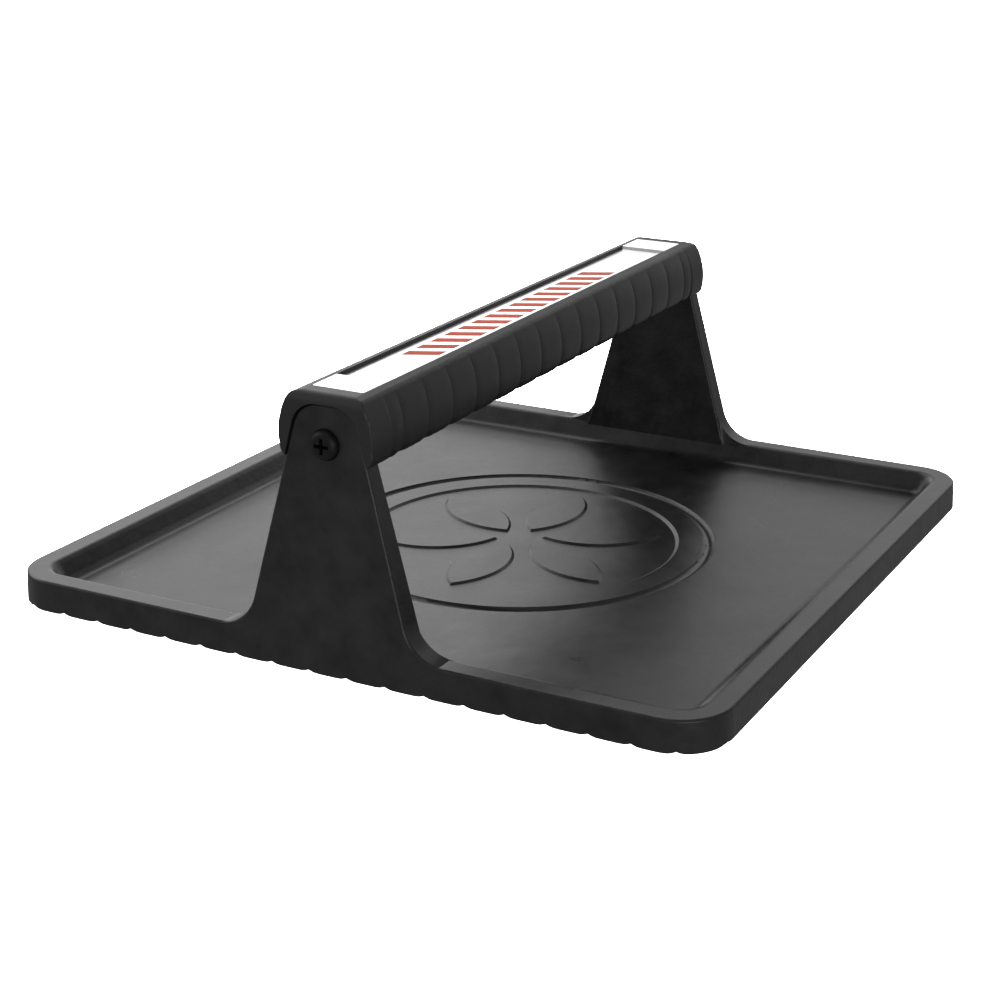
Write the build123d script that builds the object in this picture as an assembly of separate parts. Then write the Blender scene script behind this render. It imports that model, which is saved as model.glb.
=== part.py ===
from build123d import *
import math
import os

# Griddle press: a ribbed cast-iron plate with two cast posts, and a moulded grip screwed between them.
# Millimetres. X runs along the two edges that carry the posts, Y along the grip, Z up.
# The origin is under the middle of the plate, on the surface that its ribs rest on.

# Casting draft: what the outer walls, and the posts' outer faces with them, lean in for each unit of height
DRAFT = 0.0397
OVERSIZE = 2.0

# Plate, measured at its rim
PLATE_SIDE = 254.0
CORNER_RADIUS = 17.0
RIM_TOP = 10.9
RIM_WIDTH = 8.2
FLOOR_TOP = 4.1
TRAY_WALL_TAPER = 35.0
TRAY_COVE_RADIUS = 4.25
OUTER_EDGE_RADIUS = 0.9
BOTTOM_EDGE_RADIUS = 1.0
RIM_INNER_EDGE_RADIUS = 3.0

# Ribs under the plate, parallel to the grip
RIB_HEIGHT = 1.2
RIB_PITCH = 13.7
RIB_COUNT = 17
RIB_LAND = 3.0

# Emblem in the tray floor: a ring groove round a sunk disc, with six plain petals left standing in it
RING_RADIUS = 68.0
RING_DEPTH = 1.1
RING_HALF_WIDTH = 2.1
DISC_RADIUS = 57.3
DISC_DEPTH = 0.7
DISC_WALL_RUN = 1.3
PETAL_COUNT = 6
PETAL_INNER = 9.0
PETAL_OUTER = 50.0
PETAL_HALF_WIDTH = 8.5
PETAL_WALL_RUN = 1.0

# Posts: the sides narrow in a straight line with height
POST_HALF_WIDTH_AT_RIM = 29.8
POST_NARROWING = 0.265
POST_TOP = 86.6
POST_TOP_RADIUS = 9.0
POST_THICKNESS = 9.1
FLARE_RADIUS = 14.0
FOOT_RADIUS = 9.0
FLARE_SINK = 0.1
BLEND_START = 0.4
POST_EDGE_RADIUS = 0.8

# Grip: its shoulders fall away from a flat top, then the sides swell and draw in again
GRIP_TOP = 89.9
GRIP_HALF_LENGTH = 124.9
GRIP_FLAT_HALF_WIDTH = 9.5
GRIP_SHOULDER_HALF_WIDTH = 12.7
GRIP_SHOULDER_HEIGHT = 89.2
GRIP_HALF_WIDTH = 16.7
GRIP_WIDEST_HEIGHT = 75.8
GRIP_CORNER_HALF_WIDTH = 15.5
GRIP_CORNER_HEIGHT = 68.7
GRIP_BOTTOM = 68.2
GRIP_SHOULDER_RADIUS = 2.2
GRIP_BOTTOM_RADIUS = 3.8
GRIP_END_TOP_RADIUS = 3.6
GRIP_END_EDGE_RADIUS = 0.6
POCKET_GAP = 0.2

# Lobes of the grip, parted by narrow grooves. Each pair is the distance from a groove's middle
# and how far the surface lies in from the lobe's crest there.
LOBE_LENGTH = 15.17
GROOVE_COUNT = 15
LOBE_SWELL = ((0.0, 0.55), (0.4, 0.36), (1.1, 0.23), (2.5, 0.11), (4.8, 0.03), (7.585, 0.0))

# Channel under the top plate
CHANNEL_FLOOR = 72.6
CHANNEL_BAYS = 6
CHANNEL_WEB = 2.4
CHANNEL_HALF_WIDTH = 7.6
CHANNEL_HALF_LENGTH = 101.0
CHANNEL_CORNER = 2.0

# Top plate: a pressed strip, flush with the grip at its ends and sunk into it between them
STRIP_HALF_WIDTH = 9.0
STRIP_HALF_LENGTH = 117.0
STRIP_CORNER = 0.8
STRIP_CLEARANCE = 0.1
SHEET = 1.2
SUNK_HALF_LENGTH = 103.2
SUNK_DEPTH = 1.3
STEP_RUN = 1.3
BEND_RADIUS = 0.8

# M5 pan head screws with lock washers, in brass inserts
SCREW_HEIGHT = 74.5
SCREW_DIAMETER = 5.0
SCREW_LENGTH = 16.0
SCREW_END_CHAMFER = 0.6
HEAD_DIAMETER = 9.5
HEAD_HEIGHT = 3.7
HEAD_EDGE_RADIUS = 2.2
HEAD_PROUD = 2.5
DRIVE_SPAN = 5.0
DRIVE_WIDTH = 1.2
DRIVE_DEPTH = 2.0
DRIVE_TAPER = 8.0
CLEARANCE_HOLE = 5.5
COUNTERBORE_DIAMETER = 9.9
WASHER_OUTER = 8.8
WASHER_INNER = 5.3
WASHER_THICKNESS = 1.2
WASHER_SPLIT = 0.9
WASHER_SPLIT_TURN = 20.0
INSERT_DIAMETER = 8.0
INSERT_LENGTH = 12.0
INSERT_FLANGE_DIAMETER = 10.0
INSERT_FLANGE_THICKNESS = 1.0
INSERT_CLEARANCE = 0.02
THREAD_CLEARANCE = 0.02

half_side = PLATE_SIDE / 2
post_inner_face = half_side - POST_THICKNESS
post_face_at_screw = half_side - DRAFT * (SCREW_HEIGHT - RIM_TOP)
head_seat = post_face_at_screw + HEAD_PROUD - HEAD_HEIGHT
counterbore_floor = head_seat - WASHER_THICKNESS
step_half_turn = math.atan2(SUNK_DEPTH, STEP_RUN) / 2
sunk_seat = GRIP_TOP - SUNK_DEPTH - SHEET


def rounded_block(half_x, half_y, radius, top, depth, taper=0.0):
    """Block with rounded upright corners, from its top down. A taper draws its walls in on the way."""
    outline = Plane.XY.offset(top) * RectangleRounded(2 * half_x, 2 * half_y, radius)
    return extrude(outline, amount=-depth, taper=taper)


def rib_notch(centre, half_width):
    """Bar to cut from the plate's underside, between the rounded flanks of two ribs."""
    left, right = centre - half_width, centre + half_width
    below = -1.0
    edges = [
        TangentArc((left, 0), (centre, RIB_HEIGHT), tangent=(1, 0)),
        TangentArc((right, 0), (centre, RIB_HEIGHT), tangent=(-1, 0)),
        Line((right, 0), (right, below)),
        Line((right, below), (left, below)),
        Line((left, below), (left, 0)),
    ]
    face = make_face(Curve() + edges)
    return extrude(Plane.XZ * face, amount=half_side + 1, both=True)


def rib_notches():
    """All notches: one between each pair of ribs, and a half notch along each side of the plate."""
    first = -RIB_COUNT * RIB_PITCH / 2
    half_width = (RIB_PITCH - RIB_LAND) / 2
    notches = [rib_notch(first + index * RIB_PITCH, half_width) for index in range(RIB_COUNT + 1)]
    side_half_width = (half_side + first - RIB_LAND) / 2
    notches += [rib_notch(side * half_side, side_half_width) for side in (-1, 1)]
    return notches


def post_half_width(height):
    return POST_HALF_WIDTH_AT_RIM - POST_NARROWING * (height - RIM_TOP)


def post_profile(foot_level, flare_radius, grow=0.0):
    """Post outline in XZ, its sides flaring out to the foot level. Grow moves all of it outwards."""
    lean = math.atan(POST_NARROWING)
    up_the_side = Vector(-math.sin(lean), math.cos(lean))
    inward = Vector(-1, 0)
    turn = math.tan((math.pi / 2 - lean) / 2)
    base = 1.5
    top = POST_TOP + grow
    side_growth = grow / math.cos(lean)
    foot_corner = Vector(post_half_width(foot_level) + side_growth, foot_level)
    top_corner = Vector(post_half_width(top) + side_growth, top)
    foot = foot_corner - inward * flare_radius * turn
    flare_end = foot_corner + up_the_side * flare_radius * turn
    top_radius = POST_TOP_RADIUS + grow
    side_end = top_corner - up_the_side * top_radius * turn
    top_start = top_corner + inward * top_radius * turn
    right = [
        Line((0, base), (foot.X, base)),
        Line((foot.X, base), foot),
        TangentArc(foot, flare_end, tangent=inward),
        Line(flare_end, side_end),
        TangentArc(side_end, top_start, tangent=up_the_side),
        Line(top_start, (0, top)),
    ]
    left = [edge.mirror(Plane.YZ) for edge in right]
    return make_face(Curve() + right + left)


def post():
    """The post on the -Y edge, reaching past the plate's outer wall. Its flare blends into the tray."""
    outer = half_side + OVERSIZE / 2
    blend_plane = half_side - RIM_WIDTH + BLEND_START
    rim_profile = post_profile(RIM_TOP - FLARE_SINK, FLARE_RADIUS)
    tray_profile = post_profile(FLOOR_TOP - FLARE_SINK, FOOT_RADIUS)
    wall_part = extrude(Plane.XZ.offset(outer) * rim_profile, amount=blend_plane - outer)
    blend = loft(
        [Plane.XZ.offset(blend_plane) * rim_profile, Plane.XZ.offset(post_inner_face) * tray_profile],
        ruled=True,
    )
    return wall_part + blend


def casting_envelope():
    """Everything inside the drafted outer walls, up to above the posts."""
    base_half = half_side + DRAFT * RIM_TOP
    outline = RectangleRounded(2 * base_half, 2 * base_half, CORNER_RADIUS + DRAFT * RIM_TOP)
    envelope = extrude(outline, amount=POST_TOP + 1, taper=math.degrees(math.atan(DRAFT)))
    return fillet(envelope.edges().group_by(Axis.Z)[0], BOTTOM_EDGE_RADIUS)


def is_level(edge, height):
    box = edge.bounding_box()
    return abs(box.min.Z - height) < 0.01 and abs(box.max.Z - height) < 0.01


def on_outer_wall(edge):
    """True for edges above the rim's level that lie on the drafted outer walls or round their corners."""
    middle = edge.position_at(0.5)
    reach = max(abs(middle.X), abs(middle.Y))
    wall = half_side - DRAFT * (middle.Z - RIM_TOP)
    corner = min(abs(middle.X), abs(middle.Y)) > half_side - CORNER_RADIUS and reach > wall - RIM_WIDTH / 2
    return edge.bounding_box().min.Z > RIM_TOP - 0.05 and (abs(reach - wall) < 0.02 or corner)


def on_rim_inside(edge):
    box = edge.bounding_box()
    reach = max(abs(box.min.X), abs(box.max.X), abs(box.min.Y), abs(box.max.Y))
    return is_level(edge, RIM_TOP) and reach < half_side - RIM_WIDTH + 0.01


def on_post_inner_face(edge):
    box = edge.bounding_box()
    flat = abs(abs(box.min.Y) - post_inner_face) < 0.01 and abs(abs(box.max.Y) - post_inner_face) < 0.01
    return flat and box.min.Z > RIM_TOP - 1


def petal(wall_run, height):
    """Pointed oval along Y between two arcs. A wall run makes it that much larger all round."""
    tip = Vector(0, PETAL_OUTER + wall_run)
    root = Vector(0, PETAL_INNER - wall_run)
    middle = (PETAL_INNER + PETAL_OUTER) / 2
    half_width = PETAL_HALF_WIDTH + wall_run
    right = ThreePointArc(root, (half_width, middle), tip)
    left = ThreePointArc(tip, (-half_width, middle), root)
    return Pos(0, 0, height) * make_face(Curve() + [right, left])


def emblem():
    """What is cut from the tray floor: the ring groove, and the disc less the petals that stand in it."""
    cutter_radius = (RING_HALF_WIDTH**2 + RING_DEPTH**2) / (2 * RING_DEPTH)
    cutter_centre = (RING_RADIUS, FLOOR_TOP - RING_DEPTH + cutter_radius)
    ring = revolve(Plane.XZ * Location(cutter_centre) * Circle(cutter_radius), Axis.Z)
    disc_floor = FLOOR_TOP - DISC_DEPTH
    disc = loft(
        [
            Pos(0, 0, disc_floor) * Circle(DISC_RADIUS - DISC_WALL_RUN),
            Pos(0, 0, FLOOR_TOP) * Circle(DISC_RADIUS),
        ],
        ruled=True,
    )
    disc += Pos(0, 0, FLOOR_TOP) * extrude(Circle(DISC_RADIUS), amount=1)
    standing = loft([petal(PETAL_WALL_RUN, disc_floor), petal(0, FLOOR_TOP)], ruled=True)
    for index in range(PETAL_COUNT):
        disc -= standing.rotate(Axis.Z, index * 360 / PETAL_COUNT)
    return ring, disc


def screw_line(side, start, radius, length):
    """Cylinder on a screw's axis that begins at a distance from the middle and runs outwards."""
    axis_plane = Plane(origin=(0, side * start, SCREW_HEIGHT), z_dir=(0, side, 0))
    return extrude(axis_plane * Circle(radius), amount=length)


def press_plate():
    half = half_side + OVERSIZE
    plate = rounded_block(half, half, CORNER_RADIUS + OVERSIZE, RIM_TOP, RIM_TOP)
    for notch in rib_notches():
        plate -= notch
    tray_half = half_side - RIM_WIDTH
    tray = rounded_block(
        tray_half, tray_half, CORNER_RADIUS - RIM_WIDTH, RIM_TOP, RIM_TOP - FLOOR_TOP, TRAY_WALL_TAPER
    )
    tray_bottom = tray.edges().group_by(Axis.Z)[0]
    plate -= fillet(tray_bottom, TRAY_COVE_RADIUS)
    plate = fillet(plate.edges().filter_by(on_rim_inside), RIM_INNER_EDGE_RADIUS)
    near_post = post()
    far_post = near_post.rotate(Axis.Z, 180)
    casting = (plate.fuse(near_post, far_post) & casting_envelope()).solids()[0]
    casting = casting.fillet(OUTER_EDGE_RADIUS, casting.edges().filter_by(on_outer_wall))
    casting = casting.fillet(POST_EDGE_RADIUS, casting.edges().filter_by(on_post_inner_face))
    for cut in emblem():
        casting -= cut
    for side in (-1, 1):
        casting -= screw_line(side, post_inner_face - 1, CLEARANCE_HOLE / 2, POST_THICKNESS + 2)
        casting -= screw_line(side, counterbore_floor, COUNTERBORE_DIAMETER / 2, POST_THICKNESS)
    return casting


def grip_section(inset=0.0):
    """The grip's outline in XZ. An inset draws in its sides and underside, but not its shoulders."""
    flat = (GRIP_FLAT_HALF_WIDTH, GRIP_TOP)
    shoulder = (GRIP_SHOULDER_HALF_WIDTH, GRIP_SHOULDER_HEIGHT)
    widest = (GRIP_HALF_WIDTH - inset, GRIP_WIDEST_HEIGHT)
    corner = (GRIP_CORNER_HALF_WIDTH - inset, GRIP_CORNER_HEIGHT + inset)
    mirrored = [(-x, z) for x, z in (flat, shoulder, widest, corner)]
    left_flat, left_shoulder, left_widest, left_corner = mirrored
    outline = [
        Line(left_flat, flat),
        Line(flat, shoulder),
        ThreePointArc(shoulder, widest, corner),
        ThreePointArc(corner, (0, GRIP_BOTTOM + inset), left_corner),
        ThreePointArc(left_corner, left_widest, left_shoulder),
        Line(left_shoulder, left_flat),
    ]
    face = make_face(Curve() + outline)
    shoulders = face.vertices().sort_by(Axis.Y)[2:4]
    face = fillet(shoulders, GRIP_SHOULDER_RADIUS)
    return fillet(face.vertices().group_by(Axis.Y)[0], GRIP_BOTTOM_RADIUS)


def placed_section(position, inset):
    return Plane.XZ.offset(-position) * grip_section(inset)


def grip_lobe(groove_position):
    """The swelling from one groove's middle, at a place along Y, to the next groove's middle."""
    rising = [(groove_position + distance, inset) for distance, inset in LOBE_SWELL]
    next_groove = groove_position + LOBE_LENGTH
    falling = [(next_groove - distance, inset) for distance, inset in reversed(LOBE_SWELL[:-1])]
    return loft([placed_section(position, inset) for position, inset in rising + falling])


def grip_end(last_groove):
    """The far end of the grip, from the last groove's middle outwards."""
    rising = [placed_section(last_groove + distance, inset) for distance, inset in LOBE_SWELL]
    plain_start = last_groove + LOBE_SWELL[-1][0]
    plain = extrude(placed_section(plain_start, 0), amount=-(GRIP_HALF_LENGTH - plain_start))
    return loft(rising) + plain


def raised_block(half_width, half_length, corner, bottom, top):
    """Upright block with rounded corners, long in Y, between two heights."""
    outline = RectangleRounded(2 * half_width, 2 * half_length, corner)
    return Pos(0, 0, bottom) * extrude(outline, amount=top - bottom)


def grip_blank():
    """The lobed bar, before anything is cut into it."""
    last_groove = (GROOVE_COUNT - 1) / 2 * LOBE_LENGTH
    end = grip_end(last_groove)
    bar = end + end.rotate(Axis.Z, 180)
    for index in range(GROOVE_COUNT - 1):
        bar += grip_lobe(-last_groove + index * LOBE_LENGTH)
    side_view = Rectangle(2 * GRIP_HALF_LENGTH, 2 * GRIP_TOP)
    side_view = fillet(side_view.vertices().group_by(Axis.Y)[-1], GRIP_END_TOP_RADIUS)
    bar &= extrude(Plane.YZ * side_view, amount=2 * GRIP_HALF_WIDTH, both=True)
    end_edges = [
        edge for edge in bar.edges() if abs(abs(edge.position_at(0.5).Y) - GRIP_HALF_LENGTH) < 0.01
    ]
    return fillet(end_edges, GRIP_END_EDGE_RADIUS)


def strip_face(half_length, height, shift):
    """Side view of one face of the strip from its middle to its end: sunk, then stepped up."""
    return [
        (0, height - SUNK_DEPTH),
        (SUNK_HALF_LENGTH - STEP_RUN + shift, height - SUNK_DEPTH),
        (SUNK_HALF_LENGTH + shift, height),
        (half_length, height),
    ]


def strip_block(half_width, half_length, corner, upper_face):
    """Block with rounded bends on the strip's stepped seat in the grip, up to the given upper face."""
    under_face = strip_face(half_length, GRIP_TOP - SHEET, SHEET * math.tan(step_half_turn))
    side_view = make_face(Polyline(*upper_face, *reversed(under_face), close=True))
    far_half = extrude(Plane.YZ * side_view, amount=2 * half_width, both=True)
    block = far_half + far_half.rotate(Axis.Z, 180)
    block &= raised_block(half_width, half_length, corner, CHANNEL_FLOOR, GRIP_TOP + OVERSIZE)
    bends = [
        edge
        for edge in block.edges().filter_by(Axis.X)
        if abs(abs(edge.position_at(0.5).Y) - SUNK_HALF_LENGTH) < 2 * STEP_RUN
    ]
    return fillet(bends, BEND_RADIUS)


def grip():
    body = grip_blank()
    pocket_depth = GRIP_HALF_LENGTH - post_inner_face + 1
    pocket_outline = Plane.XZ.offset(post_inner_face) * post_profile(FLOOR_TOP, FOOT_RADIUS, POCKET_GAP)
    pocket = extrude(pocket_outline, amount=pocket_depth)
    body -= pocket
    body -= pocket.rotate(Axis.Z, 180)

    slot_half_length = STRIP_HALF_LENGTH + STRIP_CLEARANCE
    above = GRIP_TOP + 1
    slot_top = [(0, above), (slot_half_length, above)]
    body -= strip_block(
        STRIP_HALF_WIDTH + STRIP_CLEARANCE, slot_half_length, STRIP_CORNER + STRIP_CLEARANCE, slot_top
    )
    bay_pitch = (2 * CHANNEL_HALF_LENGTH + CHANNEL_WEB) / CHANNEL_BAYS
    for index in range(CHANNEL_BAYS):
        centre = (index - (CHANNEL_BAYS - 1) / 2) * bay_pitch
        bay_half_length = (bay_pitch - CHANNEL_WEB) / 2
        bay = raised_block(CHANNEL_HALF_WIDTH, bay_half_length, CHANNEL_CORNER, CHANNEL_FLOOR, sunk_seat + 1)
        body -= Pos(0, centre, 0) * bay

    insert_inner_end = post_inner_face - INSERT_LENGTH
    hole_radius = INSERT_DIAMETER / 2 + INSERT_CLEARANCE
    flange_radius = INSERT_FLANGE_DIAMETER / 2 + INSERT_CLEARANCE
    for side in (-1, 1):
        body -= screw_line(side, insert_inner_end, hole_radius, INSERT_LENGTH)
        flange_seat = post_inner_face - INSERT_FLANGE_THICKNESS
        body -= screw_line(side, flange_seat, flange_radius, INSERT_FLANGE_THICKNESS)
    return body


def top_plate():
    """Pressed strip whose long middle is sunk, with a bent step up to each flush end."""
    upper_face = strip_face(STRIP_HALF_LENGTH, GRIP_TOP, 0)
    return strip_block(STRIP_HALF_WIDTH, STRIP_HALF_LENGTH, STRIP_CORNER, upper_face)


def screw():
    """Pan-head machine screw for the near post, with a cross recess in its head."""
    shank = screw_line(-1, head_seat - SCREW_LENGTH, SCREW_DIAMETER / 2, SCREW_LENGTH)
    shank = chamfer(shank.edges().sort_by(Axis.Y)[-1], SCREW_END_CHAMFER)
    head = screw_line(-1, head_seat, HEAD_DIAMETER / 2, HEAD_HEIGHT)
    head = fillet(head.edges().sort_by(Axis.Y)[0], HEAD_EDGE_RADIUS)
    head_top = Plane(origin=(0, -(head_seat + HEAD_HEIGHT), SCREW_HEIGHT), z_dir=(0, 1, 0))
    for size in ((DRIVE_SPAN, DRIVE_WIDTH), (DRIVE_WIDTH, DRIVE_SPAN)):
        head -= extrude(head_top * Rectangle(*size), amount=DRIVE_DEPTH, taper=DRIVE_TAPER)
    return shank + head


def lock_washer():
    """Split ring between the near screw's head and the floor of its counterbore."""
    washer = screw_line(-1, counterbore_floor, WASHER_OUTER / 2, WASHER_THICKNESS)
    washer -= screw_line(-1, counterbore_floor - 1, WASHER_INNER / 2, WASHER_THICKNESS + 2)
    above = (Align.CENTER, Align.CENTER, Align.MIN)
    split = Box(WASHER_SPLIT, 3 * WASHER_THICKNESS, WASHER_OUTER, align=above)
    split = Rot(0, WASHER_SPLIT_TURN, 0) * split
    middle = -(counterbore_floor + WASHER_THICKNESS / 2)
    return washer - Pos(0, middle, SCREW_HEIGHT) * split


def insert():
    """Flanged threaded bush moulded into the near end of the grip."""
    inner_end = post_inner_face - INSERT_LENGTH
    bush = screw_line(-1, inner_end, INSERT_DIAMETER / 2, INSERT_LENGTH)
    flange_seat = post_inner_face - INSERT_FLANGE_THICKNESS
    bush += screw_line(-1, flange_seat, INSERT_FLANGE_DIAMETER / 2, INSERT_FLANGE_THICKNESS)
    bore_radius = SCREW_DIAMETER / 2 + THREAD_CLEARANCE
    return bush - screw_line(-1, inner_end - 1, bore_radius, INSERT_LENGTH + 2)


def save(shape, node):
    export_step(shape.solids()[0], "parts/" + node + ".step")


os.makedirs("parts", exist_ok=True)
save(press_plate(), "press_plate")
save(grip(), "grip")
save(top_plate(), "top_plate")
for near_shape, name in ((screw(), "screw"), (lock_washer(), "lock_washer"), (insert(), "insert")):
    save(near_shape, name + "_near")
    save(near_shape.rotate(Axis.Z, 180), name + "_far")
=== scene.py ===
import math

import bmesh
import bpy
from mathutils import Matrix, Vector


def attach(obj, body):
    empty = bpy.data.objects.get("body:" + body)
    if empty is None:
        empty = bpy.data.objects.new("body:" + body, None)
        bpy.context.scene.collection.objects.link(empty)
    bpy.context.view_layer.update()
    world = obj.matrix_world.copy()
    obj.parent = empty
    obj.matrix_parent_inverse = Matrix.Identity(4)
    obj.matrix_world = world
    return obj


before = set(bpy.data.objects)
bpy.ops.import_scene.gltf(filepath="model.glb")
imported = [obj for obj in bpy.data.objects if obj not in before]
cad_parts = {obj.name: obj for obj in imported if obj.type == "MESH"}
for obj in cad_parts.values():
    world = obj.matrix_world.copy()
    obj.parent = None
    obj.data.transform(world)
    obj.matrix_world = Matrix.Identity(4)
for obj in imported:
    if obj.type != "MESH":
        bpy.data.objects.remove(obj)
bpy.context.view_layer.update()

# Everything is in metres. X runs across the grip, Y along it, Z up; the rib crests rest on Z = 0.
MM = 0.001

# Camera angles in degrees, lens and sensor in millimetres, shifts as parts of the picture's width
CAMERA_PLACE = Vector((0.31603, -0.60217, 0.25983))
CAMERA_AZIMUTH = 26.841
CAMERA_ELEVATION = 19.482
CAMERA_ROLL = 0.425
SENSOR = 36.0
LENS = 72.52
SHIFT_X = -0.0482
SHIFT_Y = -0.0028
NEAREST_SEEN = 0.01
FARTHEST_SEEN = 50

FLOOR_HALF_SIZE = 30.0
FLOOR_DROP = 0.2 * MM


# ---------------------------------------------------------------- materials
# Texture scales are in features per metre and bump distances in metres.

NEUTRAL_SPECULAR = 0.5
INK_SPECULAR = 0.15
FLOOR_SPECULAR = 0.1
FLOOR_ROUGHNESS = 0.9
BLUE_TINGE = 1.02


class Nodes:
    """A material's node tree, with short ways to add and join nodes."""

    def __init__(self, name):
        self.material = bpy.data.materials.new(name)
        self.material.use_nodes = True
        self.tree = self.material.node_tree
        self.tree.nodes.clear()
        output = self.tree.nodes.new("ShaderNodeOutputMaterial")
        self.shader = self.tree.nodes.new("ShaderNodeBsdfPrincipled")
        self.tree.links.new(self.shader.outputs[0], output.inputs[0])
        self.place = self.tree.nodes.new("ShaderNodeTexCoord").outputs["Object"]

    def join(self, source, target):
        self.tree.links.new(source, target)

    def constants(self, **values):
        for name, value in values.items():
            self.shader.inputs[name.replace("_", " ")].default_value = value

    def noise(self, scale, detail=3.0, roughness=0.5, stretch=None):
        node = self.tree.nodes.new("ShaderNodeTexNoise")
        node.inputs["Scale"].default_value = scale
        node.inputs["Detail"].default_value = detail
        node.inputs["Roughness"].default_value = roughness
        source = self.place
        if stretch:
            mapping = self.tree.nodes.new("ShaderNodeMapping")
            mapping.inputs["Scale"].default_value = stretch
            self.join(self.place, mapping.inputs["Vector"])
            source = mapping.outputs[0]
        self.join(source, node.inputs["Vector"])
        return node.outputs["Fac"]

    def soft_spots(self, scale):
        node = self.tree.nodes.new("ShaderNodeTexVoronoi")
        node.feature = "SMOOTH_F1"
        node.inputs["Scale"].default_value = scale
        self.join(self.place, node.inputs["Vector"])
        return node.outputs["Distance"]

    def uprightness(self):
        """0 on level faces, 1 on upright ones."""
        parts = self.tree.nodes.new("ShaderNodeSeparateXYZ")
        self.join(self.tree.nodes.new("ShaderNodeNewGeometry").outputs["Normal"], parts.inputs[0])
        return self.maths("SUBTRACT", 1.0, self.maths("ABSOLUTE", parts.outputs["Z"]))

    def ramp(self, source, stops):
        """Tone or colour that changes along the source, from one (position, value) stop to the next."""
        node = self.tree.nodes.new("ShaderNodeValToRGB")
        elements = node.color_ramp.elements
        while len(elements) < len(stops):
            elements.new(0.5)
        for element, (position, value) in zip(elements, stops):
            element.position = position
            colour = value if isinstance(value, tuple) else (value, value, value)
            element.color = (*colour, 1.0)
        self.join(source, node.inputs[0])
        return node.outputs[0]

    def scaled(self, source, low, high, start=0.0, end=1.0):
        """The source, stretched so that start becomes low and end becomes high."""
        node = self.tree.nodes.new("ShaderNodeMapRange")
        limits = {"From Min": start, "From Max": end, "To Min": low, "To Max": high}
        for name, value in limits.items():
            node.inputs[name].default_value = value
        self.join(source, node.inputs["Value"])
        return node.outputs["Result"]

    def maths(self, operation, first, second=0.0):
        """Sum, product or the like of two values, each a number or another node's output."""
        node = self.tree.nodes.new("ShaderNodeMath")
        node.operation = operation
        for socket, value in zip(node.inputs, (first, second)):
            if isinstance(value, (int, float)):
                socket.default_value = value
            else:
                self.join(value, socket)
        return node.outputs[0]

    def bump(self, height, distance, strength, under=None):
        node = self.tree.nodes.new("ShaderNodeBump")
        node.inputs["Distance"].default_value = distance
        node.inputs["Strength"].default_value = strength
        self.join(height, node.inputs["Height"])
        if under is not None:
            self.join(under, node.inputs["Normal"])
        return node.outputs[0]


def grey(value):
    return (value, value, value * BLUE_TINGE)


def cast_iron():
    """Seasoned black iron: soft waves on the level faces, sand-cast grain on the upright ones."""
    n = Nodes("seasoned_cast_iron")
    upright = n.uprightness()
    patches = n.noise(38, detail=5, roughness=0.65)
    grain = n.noise(1100, detail=3, roughness=0.6)
    blotches = n.noise(110, detail=4, roughness=0.6)
    tone = n.maths("ADD", n.scaled(patches, 0.0, 0.5), n.scaled(blotches, 0.0, 0.5))
    n.join(n.ramp(tone, [(0.36, grey(0.004)), (0.64, grey(0.024))]), n.shader.inputs["Base Color"])

    unevenness = n.scaled(blotches, -0.06, 0.06, 0.3, 0.7)
    unevenness = n.maths("MULTIPLY", unevenness, n.scaled(upright, 0.3, 1.0))
    roughness = n.scaled(patches, 0.28, 0.35, 0.3, 0.7)
    roughness = n.maths("ADD", roughness, n.scaled(grain, -0.04, 0.04))
    roughness = n.maths("ADD", roughness, n.scaled(upright, 0.0, 0.1))
    roughness = n.maths("ADD", roughness, unevenness)
    n.join(roughness, n.shader.inputs["Roughness"])

    waves = n.bump(n.noise(38, detail=3, roughness=0.55), 0.0007, 0.35)
    pits = n.scaled(n.soft_spots(420), 0.0, 1.0, 0.1, 0.6)
    pits = n.maths("MULTIPLY", pits, upright)
    pitted = n.bump(pits, 0.00014, 0.3, waves)
    fine = n.maths("MULTIPLY", grain, n.scaled(upright, 0.22, 1.0))
    n.join(n.bump(fine, 0.00016, 0.5, pitted), n.shader.inputs["Normal"])
    n.constants(Specular_IOR_Level=NEUTRAL_SPECULAR)
    return n.material


def grip_plastic():
    """Black moulding with a fine even texture."""
    n = Nodes("black_moulding")
    patches = n.noise(40, detail=3)
    grain = n.noise(1800, detail=2)
    n.join(n.ramp(patches, [(0.3, grey(0.016)), (0.7, grey(0.02))]), n.shader.inputs["Base Color"])
    n.join(n.scaled(patches, 0.40, 0.48, 0.3, 0.7), n.shader.inputs["Roughness"])
    n.join(n.bump(grain, 0.00005, 0.5), n.shader.inputs["Normal"])
    n.constants(Specular_IOR_Level=NEUTRAL_SPECULAR)
    return n.material


def worn_metal(name, dark, light, smooth, rough, metallic, specular=NEUTRAL_SPECULAR):
    """Small metal part: its tone and sheen vary together between two limits."""
    n = Nodes(name)
    wear = n.noise(800, detail=4)
    n.join(n.ramp(wear, [(0.35, dark), (0.75, light)]), n.shader.inputs["Base Color"])
    n.join(n.scaled(wear, smooth, rough, 0.3, 0.7), n.shader.inputs["Roughness"])
    n.join(n.bump(wear, 0.00003, 0.4), n.shader.inputs["Normal"])
    n.constants(Metallic=metallic, Specular_IOR_Level=specular)
    return n.material


def bright_sheet():
    """Satin bright sheet, brushed along its length."""
    n = Nodes("satin_bright_sheet")
    brushing = n.noise(900, detail=3, stretch=(1.0, 0.02, 1.0))
    n.join(n.ramp(brushing, [(0.3, grey(0.82)), (0.7, grey(0.88))]), n.shader.inputs["Base Color"])
    n.join(n.scaled(brushing, 0.28, 0.38, 0.3, 0.7), n.shader.inputs["Roughness"])
    n.join(n.bump(brushing, 0.00002, 0.3), n.shader.inputs["Normal"])
    n.constants(Metallic=1.0)
    return n.material


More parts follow.
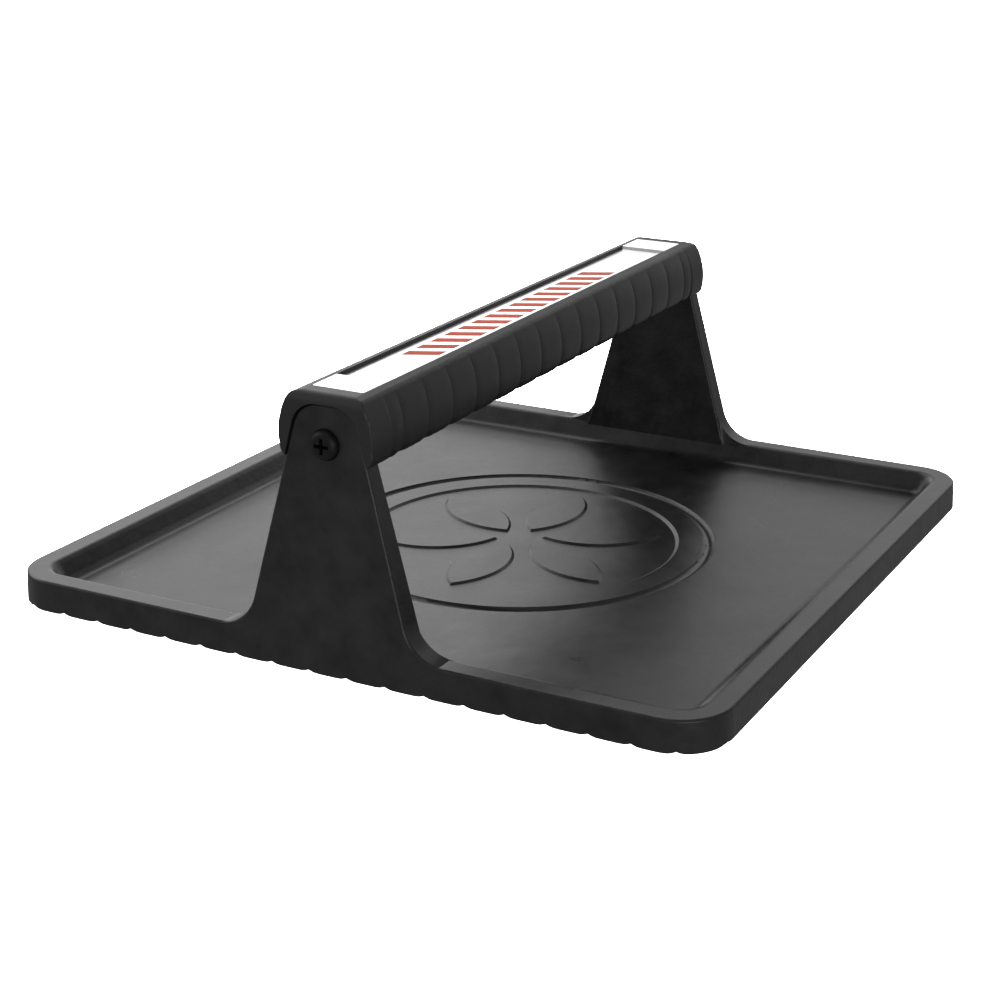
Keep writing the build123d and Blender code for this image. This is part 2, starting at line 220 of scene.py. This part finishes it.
def enamel(name, dark, light):
    """Printed enamel with a slight unevenness of tone and sheen."""
    n = Nodes(name)
    cloud = n.noise(500, detail=3)
    n.join(n.ramp(cloud, [(0.35, dark), (0.7, light)]), n.shader.inputs["Base Color"])
    n.join(n.scaled(cloud, 0.55, 0.65), n.shader.inputs["Roughness"])
    n.join(n.bump(cloud, 0.00001, 0.3), n.shader.inputs["Normal"])
    n.constants(Specular_IOR_Level=INK_SPECULAR)
    return n.material


def paint(piece, material):
    piece.data.materials.clear()
    piece.data.materials.append(material)


finishes = {
    "press_plate": cast_iron(),
    "grip": grip_plastic(),
    "top_plate": bright_sheet(),
    "screw": worn_metal("blackened_screw", grey(0.004), grey(0.009), 0.42, 0.52, 0.0, 0.28),
    "lock_washer": worn_metal("plain_spring_steel", grey(0.2), grey(0.34), 0.3, 0.5, 1.0),
    "insert": worn_metal("machined_brass", (0.62, 0.43, 0.17), (0.75, 0.56, 0.26), 0.25, 0.4, 1.0),
}
for node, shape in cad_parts.items():
    family = node.removesuffix("_near").removesuffix("_far")
    paint(shape, finishes[family])


# ---------------------------------------------------------------- printed bars on the sunken strip

STRIP_TOP = 88.6 * MM
BARS_START = -66.0 * MM
BARS_END = 61.0 * MM
BAR_PITCH = 9.0 * MM
BAR_WIDTH = 4.6 * MM
BAR_HALF_SPAN = 5.2 * MM
BAR_LEAN = 2.6 * MM
BAR_OUTLINE = 0.3 * MM
INK = 0.02 * MM


def slanted_bars(name, margin, thickness, material):
    """Row of slanted bars printed on the strip. The margin makes each one larger all round."""
    work = bmesh.new()
    count = round((BARS_END - BARS_START) / BAR_PITCH)
    reach = BAR_HALF_SPAN + margin
    lean = BAR_LEAN * reach / BAR_HALF_SPAN
    half_width = BAR_WIDTH / 2 + margin
    for index in range(count + 1):
        middle = BARS_START + index * BAR_PITCH
        outline = [
            (-reach, middle - lean - half_width),
            (reach, middle + lean - half_width),
            (reach, middle + lean + half_width),
            (-reach, middle - lean + half_width),
        ]
        base = work.faces.new([work.verts.new((x, y, STRIP_TOP)) for x, y in outline])
        raised = bmesh.ops.extrude_face_region(work, geom=[base])
        corners = [item for item in raised["geom"] if isinstance(item, bmesh.types.BMVert)]
        bmesh.ops.translate(work, verts=corners, vec=(0, 0, thickness))
    bmesh.ops.recalc_face_normals(work, faces=work.faces)
    mesh = bpy.data.meshes.new(name)
    work.to_mesh(mesh)
    work.free()
    bars = bpy.data.objects.new(name, mesh)
    bpy.context.scene.collection.objects.link(bars)
    paint(bars, material)
    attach(bars, "root")
    return bars


dark_ink = enamel("dark_ink", (0.10, 0.04, 0.02), (0.14, 0.06, 0.03))
orange_red_ink = enamel("orange_red_ink", (0.80, 0.07, 0.01), (0.88, 0.10, 0.02))
outlines = slanted_bars("bar_outlines", BAR_OUTLINE, INK, dark_ink)
bars = slanted_bars("bars", 0.0, 2 * INK, orange_red_ink)


# ---------------------------------------------------------------- stage, light and camera

# Each softbox: name, azimuth and elevation in degrees, width, height, and power in watts
SOFTBOXES = [
    ("left", -90, 28, 0.85, 0.42, 3.2),
    ("left_high", -90, 52, 0.6, 0.42, 0.2),
    ("back_left", -45, 28, 0.85, 0.42, 1.9),
    ("back_left_high", -45, 52, 0.6, 0.42, 1.2),
    ("back_left_low", -45, 8, 0.9, 0.34, 1.3),
    ("back", 0, 28, 0.85, 0.42, 1.0),
    ("back_low", 0, 8, 0.9, 0.34, 0.6),
    ("front_left", -135, 28, 0.85, 0.42, 0.6),
    ("front_high", 180, 52, 0.6, 0.42, 0.35),
    ("front_right_low", 135, 8, 0.9, 0.34, 2.9),
]
STRIP_LAMP = ("strip_lamp", -27, 22, 1.0, 0.8, 2.5)
FLOOR_LAMP = ("floor_lamp", 0, 88, 12.0, 12.0, 3600)
SOFTBOX_DISTANCE = 1.3
FLOOR_LAMP_DISTANCE = 3.0
LIGHT_TARGET = Vector((0, 0, 0.03))
SKY_STRENGTH = 0.286


def floor():
    """Wide pale ground, seen by the camera but neither mirrored in the object nor lighting it."""
    mesh = bpy.data.meshes.new("floor")
    work = bmesh.new()
    bmesh.ops.create_grid(work, x_segments=1, y_segments=1, size=FLOOR_HALF_SIZE)
    work.to_mesh(mesh)
    work.free()
    surface = bpy.data.objects.new("floor", mesh)
    surface.location = (0, 0, -FLOOR_DROP)
    bpy.context.scene.collection.objects.link(surface)
    n = Nodes("pale_floor")
    tone = n.ramp(n.noise(3.0), [(0.3, 0.93), (0.7, 0.95)])
    n.join(tone, n.shader.inputs["Base Color"])
    n.constants(Roughness=FLOOR_ROUGHNESS, Specular_IOR_Level=FLOOR_SPECULAR)
    paint(surface, n.material)
    surface.visible_glossy = False
    surface.visible_diffuse = False
    return surface


def softbox(name, azimuth, elevation, width, height, power, distance=SOFTBOX_DISTANCE):
    """Area light aimed at the object. Azimuth runs clockwise from +Y, seen from above."""
    turn, rise = math.radians(azimuth), math.radians(elevation)
    level = math.cos(rise)
    direction = Vector((math.sin(turn) * level, math.cos(turn) * level, math.sin(rise)))
    data = bpy.data.lights.new(name, "AREA")
    data.shape = "RECTANGLE"
    data.size = width
    data.size_y = height
    data.energy = power
    lamp = bpy.data.objects.new(name, data)
    lamp.location = LIGHT_TARGET + direction * distance
    lamp.rotation_mode = "QUATERNION"
    lamp.rotation_quaternion = direction.to_track_quat("Z", "Y")
    lamp.visible_camera = False
    bpy.context.scene.collection.objects.link(lamp)
    return lamp


def light_only(lamp, receivers):
    """Let a lamp light only the objects given, with no shadow from anything else."""
    lit = bpy.data.collections.new(lamp.name + "_receivers")
    for receiver in receivers:
        lit.objects.link(receiver)
    lamp.light_linking.receiver_collection = lit
    lamp.light_linking.blocker_collection = lit


def sky(strength):
    world = bpy.data.worlds.new("room")
    bpy.context.scene.world = world
    world.use_nodes = True
    background = world.node_tree.nodes["Background"]
    background.inputs["Color"].default_value = (1, 1, 1, 1)
    background.inputs["Strength"].default_value = strength


def camera():
    turn = math.radians(CAMERA_AZIMUTH)
    rise = math.radians(CAMERA_ELEVATION)
    roll = math.radians(CAMERA_ROLL)
    level = math.cos(rise)
    back = Vector((math.sin(turn) * level, -math.cos(turn) * level, math.sin(rise)))
    right = Vector((math.cos(turn), math.sin(turn), 0))
    up = back.cross(right)
    rolled_right = right * math.cos(roll) + up * math.sin(roll)
    rolled_up = up * math.cos(roll) - right * math.sin(roll)
    data = bpy.data.cameras.new("camera")
    data.sensor_width = SENSOR
    data.lens = LENS
    data.shift_x = SHIFT_X
    data.shift_y = SHIFT_Y
    data.clip_start = NEAREST_SEEN
    data.clip_end = FARTHEST_SEEN
    eye = bpy.data.objects.new("camera", data)
    turned = Matrix((rolled_right, rolled_up, back)).transposed().to_4x4()
    eye.matrix_world = Matrix.Translation(CAMERA_PLACE) @ turned
    bpy.context.scene.collection.objects.link(eye)
    bpy.context.scene.camera = eye


floor_surface = floor()
for settings in SOFTBOXES:
    softbox(*settings)
sky(SKY_STRENGTH)
light_only(softbox(*FLOOR_LAMP, distance=FLOOR_LAMP_DISTANCE), [floor_surface])
light_only(softbox(*STRIP_LAMP), [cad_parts["top_plate"], outlines, bars])
camera()
bpy.context.scene.view_settings.view_transform = "Standard"
